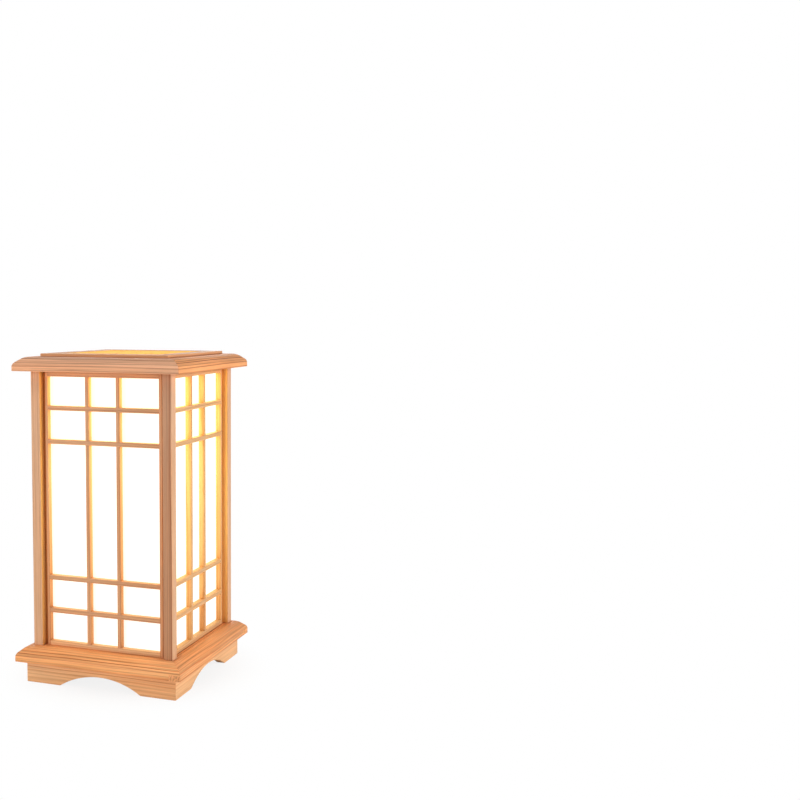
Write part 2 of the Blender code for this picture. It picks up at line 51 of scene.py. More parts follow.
# Camera at the photograph's viewpoint
VIEW_SIDE = math.radians(26.365)  # round from the front towards the right side
VIEW_DISTANCE = 1.5534
VIEW_HEIGHT = 0.4917
VIEW_TURN = math.radians(-5.344)  # away from the line to the lamp's axis
VIEW_PITCH = math.radians(-4.347)
FOCAL_PIXELS = 1128.5
FRAME_PIXELS = 800.0
LENS_COLUMN = 240.0  # column of the picture on the lens's axis
SENSOR_WIDTH = 36.0

# Soft lamps: place, aim, width and power
LAMPS = {
    "key": ((2.0, 0.25, 0.75), (0.0, 0.0, 0.22), 1.0, 23.0),
    "fill": ((-1.2, -2.0, 0.60), (0.0, 0.0, 0.22), 1.2, 16.0),
    "top": ((-0.3, -1.2, 2.20), (0.0, 0.0, 0.30), 1.2, 12.0),
    "back": ((-1.0, 1.9, 0.80), (0.0, 0.0, 0.22), 1.2, 12.0),
}
LAMP_TINT = (1.0, 0.985, 0.96)
SKY_FILL = 0.30
WHITE = (1.0, 1.0, 1.0, 1.0)
FLOOR_WIDTH = 12.0
FLOOR_DROP = 0.0002  # below the feet
FLOOR_COLOUR = (0.90, 0.90, 0.90, 1.0)
FLOOR_FADE = (0.10, 0.20, 0.86, 1.0)  # from where to where the floor goes white, and how white

# Sizes of the joinery, in metres
JOINT = 0.00005  # fine line between glued pieces
FOOT_LENGTH = 0.0503
ARCH_RISE = 0.0173
ARCH_POINTS = 360  # points round the whole circle of an arch
ARCH_CUT = 4.0  # length of its cutter, in thicknesses of a board
BASE_FASCIA = 0.0100
CAP_FASCIA = 0.0093
BEVEL_RUN = 0.0120
LOW_ARRIS = 0.0065  # radius between a fascia and its bevel
HIGH_ARRIS = 0.0140  # radius between a bevel and the flat
ARRIS_STEPS = 6
END_LAP = 0.0160  # width of the end of the next moulding, showing in the fascia of the base
END_RISE = 0.0075
STILE_FACE = 0.0040
SHADOW_DEPTH = 0.0028  # from the face of a stile back to its tongue
TONGUE = 0.0030
UPRIGHT_FACE = 0.0052  # width of an upright bar
LEVEL_FACE = 0.0061  # height of a level bar
MIDDLE_COLUMN = 0.0396
ROW_HEIGHT = 0.0385
SMALL_ROWS = 2
LID_DROP = 0.0023  # depth of the lid's step in the cap
LID_PLAY = 0.0005
CLEAR = 0.0003  # gap that the solids keep between pieces
OVERCUT = 0.0100  # how far a cutting block stands out of the work

# Eased arrises
POST_EASE = 0.0005
POST_EASE_STEPS = 3
BOARD_EASE = 0.0006
MOULDING_EASE = 0.0004
BAR_EASE = 0.00025
END_EASE = 0.00020
HOLDER_EASE = 0.0006

# Sizes of the fittings, in metres
BULB_WALL = 0.0010
BULB_NECK = 0.0130
BULB_SHOULDER = math.radians(125.0)  # from the top of the globe round to its neck
GLOBE_STEPS = 24
NECK_STEPS = 14
NECK_LEAD = 0.40  # pull of the neck's curve at the globe, as a share of its length
NECK_FOOT = 0.35  # the same at the screw cap
CAP_CREST = 0.0132
CAP_ROOT = 0.0125
CAP_PITCH = 0.0036
CAP_TIP = 0.0045
SLEEVE_LOW = 0.0075  # from the tip of the screw cap up to its thread
SLEEVE_HIGH = 0.0030  # from its top down to the thread
CAP_RIM = (  # radius, and depth under the top
    (0.0, 0.0031), (CAP_ROOT, 0.0031), (CAP_ROOT, 0.0010),
    (CAP_CREST, 0.0006), (CAP_CREST, 0.0), (0.0, 0.0),
)
CAP_NOSE = (  # radius, and height over the tip
    (0.0, 0.0), (0.55 * CAP_TIP, 0.0002), (0.9 * CAP_TIP, 0.0007), (CAP_TIP, 0.0013), (CAP_TIP, 0.0022),
    (0.82 * CAP_ROOT, 0.0054), (CAP_ROOT, 0.0066), (CAP_ROOT, 0.0076), (0.0, 0.0076),
)
NIPPLE_BORE = 0.0035
NIPPLE_PITCH = 0.0010
NIPPLE_THREAD = 0.0005  # depth of its thread
NUT_SIDES = 6
NUT_BORE = 0.0053
NUT_FLAT = 0.89  # radius of its round face, as a share of that to its corners
NUT_CHAMFER = 0.0007
BUSH_BORE = 0.0024
BUSH_SLEEVE = 0.0032
BUSH_FLANGE = 0.0012
SHELL_BORE = 0.0182
SHELL_LIP = 0.0152
RIB_COUNT = 5
RIB_START = 0.0050
RIB_PITCH = 0.0030
RIB_GROOVE = ((0.0, 0.0), (0.0006, 0.0006), (0.0006, 0.0014), (0.0, 0.0020))  # depth and height
HOLDER_NECK = 0.0120
HOLDER_SLOPE = 0.0100  # height of the cone at its foot
HOLDER_WALL = 0.0030
INSERT_BORE = 0.0137
INSERT_FLOOR = 0.0050
CONTACT_CROWN = 0.00225
SCREW_SHANK = 0.00175
SCREW_RIM = 0.0004
SCREW_HEAD = 0.0022
SCREW_POINT = 0.0040
SCREW_SLOT = 0.0007
SLOT_REACH = 0.6  # length of a slot, as a share of the head
SLOT_DEPTH = 0.0012
SPIN_STEPS = 64
THREAD_STEPS = 48
THREAD_SPARE = 3  # turns of thread that the saw takes off
THREAD_START = 2.0  # turns below the low end at which a thread begins
THREAD_SHAPE = (  # on the crest or not, and height in turns
    (False, 0.0), (False, 0.2), (True, 0.45), (True, 0.75), (False, 1.0),
)

# Middle of the log that each stick was sawn from, and how the log bows
POST_PITH = {
    "front_left": (0.045, 0.030), "front_right": (-0.0492, -0.0955),
    "back_right": (-0.070, -0.060), "back_left": (0.020, -0.080),
}
SKIRT_PITH = (-0.060, -0.190)
CAP_PITH = (0.0, 0.5420)
CAP_BOW = 0.16
BASE_PITH = (0.032, 0.085)
BASE_BOW = -0.70
STILE_PITH = (0.05, -0.128)
RAIL_PITH = (-0.030, 0.010)
RAIL_STEP = 1.0  # from the log of one rail to the next
UPRIGHT_PITH = (0.031, -0.118)
UPRIGHT_STEP = 0.2
LEVEL_PITH = (-0.120, 0.018)
LEVEL_STEP = 0.3
LID_PITH = (0.004, 0.530)
BOARD_PLACE = (0.02, 0.31, 0.16)
COPY_SHIFT = (0.83, 0.0043, 0.0029)  # from the place of a stick in its log to that of its copy
COPY_CYCLE = 3  # copies after which the depth in the log comes round

# Tints of the wood, and of painted light and shade
HEARTWOOD = (0.74, 0.64, 0.58, 1.0)
HEART_RIM_TINT = (0.80, 0.62, 0.56, 1.0)
DRIFT_TINT = (1.0, 0.88, 0.78, 1.0)
GROOVE_PAINTED_SHADE = (0.95, 0.68, 0.34, 1.0)  # painted shade: darker, warmer tint in the shadow groove beside a stile
SIDE_GROOVE_PAINTED_GLOW = (1.22, 1.03, 0.25, 1.0)  # painted light: a golden glow in the same grooves on the right and left, which look brighter
POST_PAINTED_GLOW = (1.20, 1.20, 0.70, 1.0)  # painted light: a golden glow on the sides of a post that face the lit panels
POST_HEART = 0.150  # radius of the heartwood in the log

# Figure of the wood: cells to the metre along and across the log, and where each counts
WANDER_CELLS = (3.2, 14.0, 14.0)
WANDER = 0.008
RIPPLE_CELLS = (22.0, 90.0, 90.0)
RIPPLE = 0.0009
LEAN_CELLS = 110.0
LATE_FULL = 0.88  # share of a year at which the dark wood is full
LATE_END = (0.92, 1.0, 1.0, 0.0)
LATE_SPREAD = (0.0, 1.0, 0.40, 1.0)  # from the palest year to the darkest
FIBRE_CELLS = (14.0, 800.0, 800.0)
FIBRE_SHADE = (0.25, 0.75, 0.92, 1.05)
FIBRE_GLOSS = (0.2, 0.8, 0.42, 0.56)
STREAK_CELLS = (8.0, 420.0, 420.0)
STREAK_RANGE = (0.3, 0.7)
DASH_CELLS = (60.0, 2100.0, 2100.0)
DASH_RANGE = (0.66, 0.76)
DASH_SHADE = 0.10
DRIFT_CELLS = (4.0, 34.0, 34.0)
DRIFT_RANGE = (0.35, 0.75, 0.0, 0.9)
HEART_EDGE = (-0.0003, 0.0005)
RIM_START = (-0.0002, 0.0004)
RIM_END = (0.0012, 0.0024, 1.0, 0.0)
LATE_GLOSS = -0.06
LATE_RELIEF = 0.6
FIBRE_RELIEF = 0.7
DASH_RELIEF = 0.5
WOOD_RELIEF = 0.00006
COAT_PART = 6  # the gloss over this is the weight of the coat
COAT_ROUGHNESS = 0.30

# Light thrown by the sheets, the part of it that makes white to the eye, and their inner face
SHEET_LIGHT = 3.6
SHEET_WHITE = (0.21, 0.21, 0.205, 1.0)
SHEET_INSIDE = (0.10, 0.085, 0.055, 1.0)
SHEET_GLOW = (  # share of the height, and colour of its light
    (0.0, (0.26, 0.22, 0.12, 1.0)), (0.30, (0.52, 0.44, 0.22, 1.0)),
    (0.62, (0.78, 0.70, 0.33, 1.0)), (1.0, (0.94, 0.86, 0.32, 1.0)),
)
SHEET_STRANDS = (120.0, 0.012)  # cells to the metre, and width of a strand
STRAND_SHADE = 0.05
PULP_CELLS = (60.0,) * 3
PULP_SHADE = (0.3, 0.7, 0.94, 1.0)
PULP_GLOSS = (0.2, 0.8, 0.70, 0.86)
SHEET_RELIEF = 0.00005

# The lid's panel: its light, clouds, strands and flecks
PANEL_LIGHT = 0.48
PANEL_GLOSS = 0.04
PANEL_MIDDLE = (1.0, 0.60, 0.13, 1.0)
PANEL_RIM = (1.0, 0.48, 0.09, 1.0)
PANEL_FADE = (0.030, 0.075)
CLOUD_CELLS = (38.0,) * 3
CLOUD_COLOUR = (1.0, 0.74, 0.24, 1.0)
CLOUD_RANGE = (0.35, 0.65, 0.0, 0.35)
CLOUD_GLOSS = (0.2, 0.8, 0.66, 0.84)
PANEL_STRANDS = (75.0, 0.010)
STRAND_COLOUR = (1.0, 0.90, 0.55, 1.0)
STRAND_SHARE = 0.45
TANGLE_CELLS = 22.0
TANGLE_REACH = (0.05,) * 3
BARK_CELLS = (120.0, 28.0, 70.0)
BARK_RANGE = (0.62, 0.68)
CHIP_CELLS = (90.0, 160.0, 75.0)
CHIP_RANGE = (0.63, 0.69)
FLECK_COLOUR = (0.74, 0.25, 0.04, 1.0)
FLECK_SHARE = 0.85
PANEL_RELIEF = 0.00006

# Finishes of the fittings
FINE_RELIEF = 0.00002
SCUFF_DRAWN = 0.2  # how far scuffs are drawn out upwards
SCUFF_RANGE = (0.4, 0.75)
SCUFF_GLOSS = (0.25, 0.75, 0.24, 0.46)
SKIN_CELLS = (1800.0,) * 3
DUST_CELLS = (90.0,) * 3
DUST_RANGE = (0.45, 0.85, 0.0, 0.6)
DUST_GLOSS = (0.3, 0.8)
DUST_DULL = 0.16
BULB_LIGHT = 1.6
BULB_FADE = (0.010, 0.060)
BULB_HEART = (1.0, 0.88, 0.60, 1.0)
BULB_EDGE = (1.0, 0.62, 0.30, 1.0)
FROST_CELLS = (700.0,) * 3
FROST_GLOSS = (0.2, 0.8, 0.40, 0.55)

DISPLAY_WHITE = 255.0
DISPLAY_GAMMA = 2.2
NOISE_MIDDLE = 0.5
WELD = 0.000001
NEAR = 10 * WELD
SHARP = math.radians(32.0)
QUARTER = math.pi / 2

placed = []  # finished pieces, with what each is dressed as


# Modelling by hand

def activate(piece):
    """Select one piece alone."""
    bpy.ops.object.select_all(action="DESELECT")
    piece.select_set(True)
    bpy.context.view_layer.objects.active = piece


def settle(piece):
    """Move the place, turn and size of a piece into its mesh."""
    activate(piece)
    bpy.ops.object.transform_apply(location=True, rotation=True, scale=True)
    return piece


def fresh(add, **settings):
    """A new shape, added with nothing else selected."""
    bpy.ops.object.select_all(action="DESELECT")
    add(**settings)
    return bpy.context.object


def block(low, high):
    """A box between two corners, to be shaped further."""
    low, high = Vector(low), Vector(high)
    piece = fresh(bpy.ops.mesh.primitive_cube_add, size=1.0, location=(low + high) / 2)
    piece.scale = high - low
    return settle(piece)


def modify(piece, kind, **settings):
    """Add a modifier with these settings and apply it."""
    modifier = piece.modifiers.new(kind.lower(), kind)
    for key, value in settings.items():
        setattr(modifier, key, value)
    activate(piece)
    bpy.ops.object.modifier_apply(modifier=modifier.name)


def ease(piece, width, segments=2):
    """Round the arrises of a piece and shade it between its edges."""
    modify(piece, "BEVEL", width=width, segments=segments, limit_method="ANGLE", angle_limit=SHARP)
    activate(piece)
    bpy.ops.object.shade_smooth_by_angle(angle=SHARP)
    return piece


def carve(piece, tool, operation="DIFFERENCE"):
    """Cut the tool out of a piece, or keep what it covers, and throw the tool away."""
    modify(piece, "BOOLEAN", operation=operation, solver="EXACT", object=tool)
    bpy.data.objects.remove(tool)


def pick(piece, kind, test):
    """Go into edit mode with those points, edges or faces selected whose middle passes the test."""
    activate(piece)
    bpy.ops.object.mode_set(mode="EDIT")
    bpy.ops.mesh.select_mode(type=kind)
    bpy.ops.mesh.select_all(action="DESELECT")
    bpy.ops.object.mode_set(mode="OBJECT")
    mesh = piece.data
    ends = mesh.vertices
    if kind == "VERT":
        found = [(vert, vert.co) for vert in ends]
    elif kind == "EDGE":
        found = [(edge, (ends[edge.vertices[0]].co + ends[edge.vertices[1]].co) / 2) for edge in mesh.edges]
    else:
        found = [(face, face.center) for face in mesh.polygons]
    for item, middle in found:
        item.select = test(middle)
    bpy.ops.object.mode_set(mode="EDIT")


def leave():
    """Leave edit mode."""
    bpy.ops.object.mode_set(mode="OBJECT")


def slice_off(piece, point, outward):
    """Saw a piece through and drop what lies outwards of the cut."""
    activate(piece)
    bpy.ops.object.mode_set(mode="EDIT")
    bpy.ops.mesh.select_all(action="SELECT")
    bpy.ops.mesh.bisect(plane_co=point, plane_no=outward, use_fill=True, clear_outer=True, threshold=WELD)
    leave()


def mitre(piece):
    """Saw both ends of a front piece at 45 degrees."""
    for side in (-1.0, 1.0):
        slice_off(piece, (-side * JOINT / 2, 0.0, 0.0), (side, 1.0, 0.0))


def clean(piece):
    """Merge doubled points, turn the faces outwards and shade a piece between its edges."""
    activate(piece)
    bpy.ops.object.mode_set(mode="EDIT")
    bpy.ops.mesh.select_all(action="SELECT")
    bpy.ops.mesh.remove_doubles(threshold=WELD)
    bpy.ops.mesh.normals_make_consistent(inside=False)
    leave()
    bpy.ops.object.shade_smooth_by_angle(angle=SHARP)


def spun(outline, steps=SPIN_STEPS, rise=0.0, turns=1):
    """Spin an outline of (radius, height) points about the lamp's axis, climbing for a thread."""
    radius, height = outline[0]
    piece = settle(fresh(bpy.ops.mesh.primitive_plane_add, size=JOINT, location=(radius, 0.0, height)))
    bpy.ops.object.mode_set(mode="EDIT")
    bpy.ops.mesh.select_mode(type="VERT")
    bpy.ops.mesh.select_all(action="SELECT")
    bpy.ops.mesh.merge(type="CENTER")
    for wider, higher in outline[1:]:
        step = (wider - radius, 0.0, higher - height)
        bpy.ops.mesh.extrude_region_move(TRANSFORM_OT_translate={"value": step})
        radius, height = wider, higher
    leave()
    modify(
        piece, "SCREW", axis="Z", angle=4 * QUARTER, steps=steps, render_steps=steps,
        screw_offset=rise, iterations=turns, use_merge_vertices=True, merge_threshold=WELD,
    )
    clean(piece)
    return piece


def thread(crest, root, pitch, low, high):
    """A screw thread round the lamp's axis, sawn level at both ends."""
    heights = [(out, low + (share - THREAD_START) * pitch) for out, share in THREAD_SHAPE]
    outline = [(crest if out else root, height) for out, height in heights]
    piece = spun(outline, THREAD_STEPS, pitch, math.ceil((high - low) / pitch) + THREAD_SPARE)
    slice_off(piece, (0.0, 0.0, low), (0.0, 0.0, -1.0))
    slice_off(piece, (0.0, 0.0, high), (0.0, 0.0, 1.0))
    clean(piece)
    return piece


def drill(piece, radius, low, high):
    """Bore a piece through along the lamp's axis."""
    bottom, top = low - OVERCUT, high + OVERCUT
    carve(piece, spun([(0.0, bottom), (radius, bottom), (radius, top), (0.0, top)]))
    clean(piece)


def join(pieces):
    """Make one object of several pieces."""
    activate(pieces[0])
    for piece in pieces:
        piece.select_set(True)
    bpy.ops.object.join()
    return bpy.context.object


def turned_copy(piece, turn):
    """A copy of a piece, turned by so many quarters about the lamp's axis."""
    activate(piece)
    bpy.ops.object.duplicate()
    copy = bpy.context.object
    copy.rotation_euler.z = turn * QUARTER
    return settle(copy)


# Grain: every stick carries its own place in the tree, as (along, across, across) from the pith

def grain(piece, along, pith, bow=0.0):
    """Note where each point lies in the log: along the stick, and across from the pith."""
    count = len(piece.data.vertices)
    places = np.empty(count * 3)
    piece.data.vertices.foreach_get("co", places)
    places = places.reshape(count, 3)
    first, second = (axis for axis in range(3) if axis != along)
    run = places[:, along]
    log = np.stack([run, places[:, first] - pith[0], places[:, second] - pith[1] - bow * run ** 2], 1)
    layer = piece.data.attributes.new("grain", "FLOAT_VECTOR", "POINT")
    layer.data.foreach_set("vector", log.astype(np.float32).ravel())
    return piece


def regrain(piece, number):
    """Move a copied stick to another place in the log."""
    layer = piece.data.attributes["grain"]
    log = np.empty(len(layer.data) * 3, np.float32)
    layer.data.foreach_get("vector", log)
    along, deep, high = COPY_SHIFT
    shift = np.array([along * number, deep * (number % COPY_CYCLE), high * number], np.float32)
    layer.data.foreach_set("vector", (log.reshape(-1, 3) + shift).ravel())


def mark_painted_light_and_shade(piece, test):
    """Mark the points of a piece where painted light or shade is tinted into its colour."""
    layer = piece.data.attributes.new("painted_light_and_shade", "FLOAT", "POINT")
    for place, vert in zip(layer.data, piece.data.vertices):
        place.value = float(test(vert.co))


def dress(piece, node, material, body="lantern", slot=None):
    """Name a finished piece after the node it stands for, and give it its finish and body."""
    piece.name = node + "_dressed"
    piece.data.name = piece.name
    piece.data.materials.clear()
    piece.data.materials.append(material)
    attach(piece, body)
    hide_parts(node)


def set_down(piece, node, material, body="lantern", slot=None):
    """Note a finished piece for dressing."""
    placed.append((piece, node, material, body, slot))


def all_round(piece, pattern, material, body="lantern", slot=None, other=None):
    """Set a front piece and its copies round the sides; right and left may have another finish."""
    for turn, name in enumerate(SIDES):
        copy = piece
        if turn:
            copy = turned_copy(piece, turn)
            regrain(copy, turn)
        finish = other if other and turn % 2 else material
        set_down(copy, pattern.format(name), finish, body, slot)


# Shader building

def put(tree, kind, values=None, **settings):
    """Add a node; values are numbers to set or sockets to link, by input."""
    node = tree.nodes.new("ShaderNode" + kind)
    for key, value in settings.items():
        setattr(node, key, value)
    for key, value in (values or {}).items():
        if isinstance(value, bpy.types.NodeSocket):
            tree.links.new(value, node.inputs[key])
        else:
            node.inputs[key].default_value = value
    return node


def calc(tree, operation, *values):
    """The result of a Math node."""
    return put(tree, "Math", dict(enumerate(values)), operation=operation).outputs[0]


def ramp_between(tree, value, start, stop, low=0.0, high=1.0):
    """A smooth step from low to high while the value goes from start to stop."""
    values = {0: value, 1: start, 2: stop, 3: low, 4: high}
    return put(tree, "MapRange", values, interpolation_type="SMOOTHSTEP").outputs[0]


def stretched(tree, vector, stretch):
    """The vector with each axis drawn out by its own factor."""
    return put(tree, "VectorMath", {0: vector, 1: stretch}, operation="MULTIPLY").outputs[0]


def length_of(tree, vector):
    """The length of a vector."""
    return put(tree, "VectorMath", {0: vector}, operation="LENGTH").outputs["Value"]


def noise(tree, vector, stretch, detail=2.0, roughness=0.5):
    """Noise of about 0 to 1 on a vector, with so many cells to the metre on each axis."""
    place = stretched(tree, vector, stretch)
    values = {"Vector": place, "Scale": 1.0, "Detail": detail, "Roughness": roughness}
    return put(tree, "TexNoise", values).outputs[0]


def stray(tree, vector, stretch, reach):
    """Noise about zero, of this reach."""
    level = calc(tree, "SUBTRACT", noise(tree, vector, stretch), NOISE_MIDDLE)
    return calc(tree, "MULTIPLY", level, reach)


def blend(tree, share, first, second, mode="MIX"):
    """Mix two colours."""
    values = {0: share, 6: first, 7: second}
    return put(tree, "Mix", values, data_type="RGBA", blend_type=mode).outputs[2]


def tinted(tree, colour, tint):
    """A colour multiplied by a tint."""
    return blend(tree, 1.0, colour, tint, "MULTIPLY")


def grey(tree, value):
    """A value as a colour."""
    return put(tree, "CombineColor", {0: value, 1: value, 2: value}).outputs[0]


def object_place(tree):
    """The place in the object."""
    return put(tree, "TexCoord").outputs["Object"]


def outward_reach(tree, axes):
    """How far out a point lies, towards the nearest side."""
    return calc(tree, "MAXIMUM", calc(tree, "ABSOLUTE", axes[0]), calc(tree, "ABSOLUTE", axes[1]))


def linear(red, green, blue):
    """A display colour of 0 to 255 as the scene's own values."""
    return (*((value / DISPLAY_WHITE) ** DISPLAY_GAMMA for value in (red, green, blue)), 1.0)


def new_group(name, inputs, outputs):
    """An empty shader node group with these sockets."""
    group = bpy.data.node_groups.new(name, "ShaderNodeTree")
    for label, kind in inputs:
        group.interface.new_socket(label, in_out="INPUT", socket_type="NodeSocket" + kind)
    for label, kind in outputs:
        group.interface.new_socket(label, in_out="OUTPUT", socket_type="NodeSocket" + kind)
    return group, group.nodes.new("NodeGroupInput").outputs, group.nodes.new("NodeGroupOutput").inputs


def pine_figure():
    """Growth rings, heartwood, fibres and drift of colour in pine, read along the log."""
    tree, given, result = new_group(
        FIGURE,
        (
            ("Log", "Vector"), ("Early", "Color"), ("Late", "Color"), ("Heart", "Color"),
            ("Ring", "Float"), ("Onset", "Float"), ("Contrast", "Float"), ("Heart Radius", "Float"),
            ("Streak", "Float"),
        ),
        (("Color", "Color"), ("Roughness", "Float"), ("Height", "Float")),
    )
    log = given["Log"]
    reach = length_of(tree, stretched(tree, log, (0.0, 1.0, 1.0)))
    depth = calc(tree, "ADD", reach, stray(tree, log, WANDER_CELLS, WANDER))
    depth = calc(tree, "ADD", depth, stray(tree, log, RIPPLE_CELLS, RIPPLE))
    pace = calc(tree, "MULTIPLY", depth, LEAN_CELLS)
    lean = put(tree, "TexNoise", {"W": pace, "Scale": 1.0}, noise_dimensions="1D").outputs[0]
    years = calc(tree, "ADD", calc(tree, "DIVIDE", depth, given["Ring"]), lean)
    season = calc(tree, "FRACT", years)
    year = calc(tree, "FLOOR", years)
    harsh = put(tree, "TexWhiteNoise", {"W": year}, noise_dimensions="1D").outputs["Value"]
    late = ramp_between(tree, season, given["Onset"], LATE_FULL)
    late = calc(tree, "MULTIPLY", late, ramp_between(tree, season, *LATE_END))
    late = calc(tree, "MULTIPLY", late, ramp_between(tree, harsh, *LATE_SPREAD))
    fibre = noise(tree, log, FIBRE_CELLS, detail=3.0, roughness=0.6)
    streak = noise(tree, log, STREAK_CELLS)
    dash = ramp_between(tree, noise(tree, log, DASH_CELLS, detail=1.0), *DASH_RANGE)
    drift = noise(tree, log, DRIFT_CELLS)

    colour = blend(tree, calc(tree, "MULTIPLY", late, given["Contrast"]), given["Early"], given["Late"])
    warm = tinted(tree, colour, DRIFT_TINT)
    colour = blend(tree, ramp_between(tree, drift, *DRIFT_RANGE), colour, warm)
    inside = calc(tree, "SUBTRACT", given["Heart Radius"], depth)
    heart = tinted(tree, colour, given["Heart"])
    colour = blend(tree, ramp_between(tree, inside, *HEART_EDGE), colour, heart)
    rim = ramp_between(tree, inside, *RIM_START)
    rim = calc(tree, "MULTIPLY", rim, ramp_between(tree, inside, *RIM_END))
    colour = blend(tree, rim, colour, tinted(tree, colour, HEART_RIM_TINT))
    shade = ramp_between(tree, fibre, *FIBRE_SHADE)
    dull = calc(tree, "SUBTRACT", 1.0, given["Streak"])
    bright = calc(tree, "ADD", 1.0, given["Streak"])
    shade = calc(tree, "MULTIPLY", shade, ramp_between(tree, streak, *STREAK_RANGE, dull, bright))
    shade = calc(tree, "SUBTRACT", shade, calc(tree, "MULTIPLY", dash, DASH_SHADE))
    tree.links.new(tinted(tree, colour, grey(tree, shade)), result["Color"])
    gloss = ramp_between(tree, fibre, *FIBRE_GLOSS)
    gloss = calc(tree, "ADD", gloss, calc(tree, "MULTIPLY", late, LATE_GLOSS))
    tree.links.new(gloss, result["Roughness"])
    relief = calc(tree, "MULTIPLY", late, LATE_RELIEF)
    relief = calc(tree, "ADD", relief, calc(tree, "MULTIPLY", fibre, FIBRE_RELIEF))
    relief = calc(tree, "SUBTRACT", relief, calc(tree, "MULTIPLY", dash, DASH_RELIEF))
    tree.links.new(relief, result["Height"])


def new_material(name):
    """A material with its tree, its Principled shader and that shader's inputs."""
    material = bpy.data.materials.new(name + FINISH)
    material.use_nodes = True
    tree = material.node_tree
    return material, tree, tree.nodes["Principled BSDF"].inputs


def emboss(tree, height, depth, shader):
    """Raise the surface by a height mask."""
    bump = put(tree, "Bump", {"Height": height, "Distance": depth, "Strength": 1.0})
    tree.links.new(bump.outputs[0], shader["Normal"])


def pine(
    name, early, late, ring, contrast,
    onset=0.45, heart=0.0, streak=0.07, gloss=0.30, tint=GROOVE_PAINTED_SHADE, vector=None,
):
    """Pine of one colour and ring width, lacquered or left matt, with painted light or shade tinted in at
    its marked points.
    """
    material, tree, shader = new_material(name)
    if vector is None:
        log = put(tree, "Attribute", attribute_name="grain").outputs["Vector"]
    else:
        log = put(tree, "Mapping", {"Vector": object_place(tree), "Location": vector}).outputs[0]
    values = {
        "Log": log, "Early": early, "Late": late, "Heart": HEARTWOOD,
        "Ring": ring, "Onset": onset, "Contrast": contrast, "Heart Radius": heart, "Streak": streak,
    }
    wood = put(tree, "Group", values, node_tree=bpy.data.node_groups[FIGURE]).outputs
    # painted light and shade: the tint is blended in where the points are marked
    painted_light_and_shade = put(tree, "Attribute", attribute_name="painted_light_and_shade").outputs["Fac"]
    painted_light_shade_colour = tinted(tree, wood["Color"], tint)
    tree.links.new(blend(tree, painted_light_and_shade, wood["Color"], painted_light_shade_colour), shader["Base Color"])
    tree.links.new(wood["Roughness"], shader["Roughness"])
    emboss(tree, wood["Height"], WOOD_RELIEF, shader)
    shader["Specular IOR Level"].default_value = gloss
    shader["Coat Weight"].default_value = gloss / COAT_PART
    shader["Coat Roughness"].default_value = COAT_ROUGHNESS
    return material


def fibres(tree, place, cells, width):
    """Thin curved fibres: where a soft noise passes through its middle value."""
    strand = noise(tree, place, (cells,) * 3, roughness=0.4)
    away = calc(tree, "ABSOLUTE", calc(tree, "SUBTRACT", strand, NOISE_MIDDLE))
    return ramp_between(tree, away, 0.0, width, 1.0, 0.0)


def diffuser_sheet(low, high, middle_depth):
    """White sheet lit from behind; the light that it throws outwards is strongest above the bulb."""
    material, tree, shader = new_material("diffuser_sheet")
    place = object_place(tree)
    axes = put(tree, "SeparateXYZ", {0: place}).outputs
    height = put(tree, "MapRange", {0: axes[2], 1: low, 2: high}).outputs[0]
    glow = put(tree, "ValToRGB", {0: height})
    stops = glow.color_ramp.elements
    for share, _ in SHEET_GLOW[1:-1]:
        stops.new(share)
    for stop, (share, colour) in zip(stops, SHEET_GLOW):
        stop.position = share
        stop.color = colour
    strand = fibres(tree, place, *SHEET_STRANDS)
    pulp = noise(tree, place, PULP_CELLS, detail=4.0, roughness=0.6)
    veil = ramp_between(tree, pulp, *PULP_SHADE)
    veil = calc(tree, "SUBTRACT", veil, calc(tree, "MULTIPLY", strand, STRAND_SHADE))
    outer = calc(tree, "GREATER_THAN", outward_reach(tree, axes), middle_depth)
    seen = put(tree, "LightPath").outputs["Is Camera Ray"]
    lit = blend(tree, seen, glow.outputs[0], SHEET_WHITE)
    lit = blend(tree, outer, SHEET_INSIDE, lit)
    tree.links.new(tinted(tree, lit, grey(tree, veil)), shader["Emission Color"])
    shader["Emission Strength"].default_value = SHEET_LIGHT
    paper = blend(tree, strand, linear(214, 210, 198), linear(206, 198, 178))
    tree.links.new(paper, shader["Base Color"])
    tree.links.new(ramp_between(tree, pulp, *PULP_GLOSS), shader["Roughness"])
    emboss(tree, calc(tree, "ADD", pulp, strand), SHEET_RELIEF, shader)
    return material


def flecked_sheet():
    """Yellow sheet with bark flecks and long fibres, lit from below."""
    material, tree, shader = new_material("flecked_sheet")
    place = object_place(tree)
    out = outward_reach(tree, put(tree, "SeparateXYZ", {0: place}).outputs)
    ground = blend(tree, ramp_between(tree, out, *PANEL_FADE), PANEL_MIDDLE, PANEL_RIM)
    cloud = noise(tree, place, CLOUD_CELLS, detail=4.0, roughness=0.6)
    ground = blend(tree, ramp_between(tree, cloud, *CLOUD_RANGE), ground, CLOUD_COLOUR)
    strand = fibres(tree, place, *PANEL_STRANDS)
    ground = blend(tree, calc(tree, "MULTIPLY", strand, STRAND_SHARE), ground, STRAND_COLOUR)
    tangle = put(tree, "TexNoise", {"Vector": place, "Scale": TANGLE_CELLS}).outputs["Color"]
    values = {0: tangle, 1: TANGLE_REACH, 2: place}
    bent = put(tree, "VectorMath", values, operation="MULTIPLY_ADD").outputs[0]
    bark = ramp_between(tree, noise(tree, bent, BARK_CELLS), *BARK_RANGE)
    chip = ramp_between(tree, noise(tree, bent, CHIP_CELLS), *CHIP_RANGE)
    fleck = calc(tree, "MAXIMUM", bark, chip)
    lit = blend(tree, calc(tree, "MULTIPLY", fleck, FLECK_SHARE), ground, FLECK_COLOUR)
    tree.links.new(lit, shader["Emission Color"])
    shader["Emission Strength"].default_value = PANEL_LIGHT
    tree.links.new(blend(tree, fleck, linear(236, 176, 50), linear(196, 116, 42)), shader["Base Color"])
    tree.links.new(ramp_between(tree, cloud, *CLOUD_GLOSS), shader["Roughness"])
    emboss(tree, calc(tree, "ADD", strand, fleck), PANEL_RELIEF, shader)
    shader["Specular IOR Level"].default_value = PANEL_GLOSS
    return material


